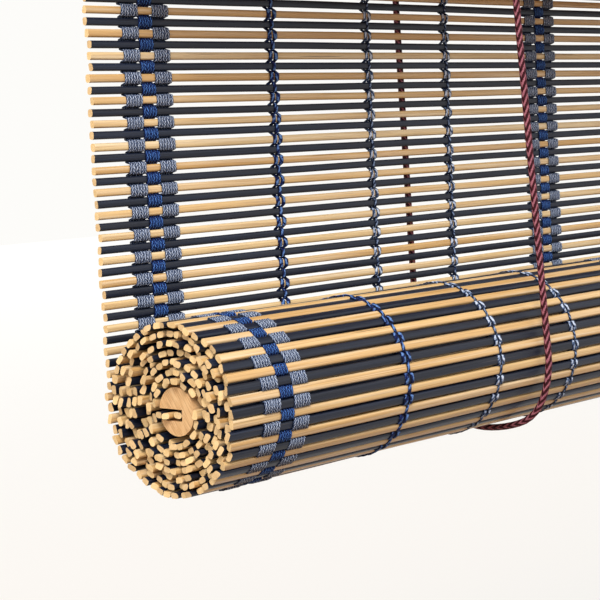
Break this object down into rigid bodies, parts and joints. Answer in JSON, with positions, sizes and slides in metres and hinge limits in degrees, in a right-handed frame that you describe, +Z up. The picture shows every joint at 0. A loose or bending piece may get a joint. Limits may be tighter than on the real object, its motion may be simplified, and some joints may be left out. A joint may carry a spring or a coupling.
{
  "type": "bamboo roll up blind",
  "caption": "Bamboo reed blind rolled up round a slotted rod in two cord loops, under a head board with pulleys.",
  "frame": {"origin": "middle fixing hole of the head board, where it meets the top face of the board", "axes": "+X along the blind from left to right seen from the room, -Y towards the room, +Z up"},
  "size_m": [0.6, 0.0928, 0.2394],
  "materials": {
    "bamboo": "natural split bamboo and stained dark reeds",
    "board_wood": "planed pine, oiled",
    "core_wood": "bare beech dowel",
    "pull_wood": "turned and varnished",
    "wheel_nylon": "moulded nylon",
    "zinc_steel": "bright zinc plate",
    "staple_steel": "galvanised wire",
    "cord": "braided burgundy cord"
  },
  "bodies": {
    "root": {"cord_staples": "staple_steel", "core_rod": "core_wood", "hanging_mat": "bamboo", "head_board": "board_wood", "left_coil_tie": "cord", "left_cord_coil": "cord", "left_cord_end_pulley_bracket": "zinc_steel", "left_cord_end_pulley_pin": "zinc_steel", "left_cord_knot": "cord", "left_cord_pull": "pull_wood", "left_cord_tail": "cord", "left_lift_cord": "cord", "left_pulley_bracket": "zinc_steel", "left_pulley_pin": "zinc_steel", "mat_staples": "staple_steel", "pulley_screws": "zinc_steel", "right_coil_tie": "cord", "right_cord_coil": "cord", "right_cord_end_pulley_bracket": "zinc_steel", "right_cord_end_pulley_pin": "zinc_steel", "right_cord_knot": "cord", "right_cord_pull": "pull_wood", "right_cord_tail": "cord", "right_lift_cord": "cord", "right_pulley_bracket": "zinc_steel", "right_pulley_pin": "zinc_steel", "rolled_mat": "bamboo"},
    "left_cord_end_pulley_wheel_body": {"left_cord_end_pulley_wheel": "wheel_nylon"},
    "left_pulley_wheel_body": {"left_pulley_wheel": "wheel_nylon"},
    "right_cord_end_pulley_wheel_body": {"right_cord_end_pulley_wheel": "wheel_nylon"},
    "right_pulley_wheel_body": {"right_pulley_wheel": "wheel_nylon"}
  },
  "joints": [
    {"name": "left_cord_end_pulley_spin", "type": "hinge", "parent": "root", "child": "left_cord_end_pulley_wheel_body", "pos_m": [0.266, -0.023, -0.031], "axis": [0, 1, 0], "continuous": true},
    {"name": "left_pulley_spin", "type": "hinge", "parent": "root", "child": "left_pulley_wheel_body", "pos_m": [-0.1017, -0.023, -0.031], "axis": [0, 1, 0], "continuous": true},
    {"name": "right_cord_end_pulley_spin", "type": "hinge", "parent": "root", "child": "right_cord_end_pulley_wheel_body", "pos_m": [0.2, -0.0295, -0.031], "axis": [0, 1, 0], "continuous": true},
    {"name": "right_pulley_spin", "type": "hinge", "parent": "root", "child": "right_pulley_wheel_body", "pos_m": [0.1118, -0.0295, -0.031], "axis": [0, 1, 0], "continuous": true}
  ]
}
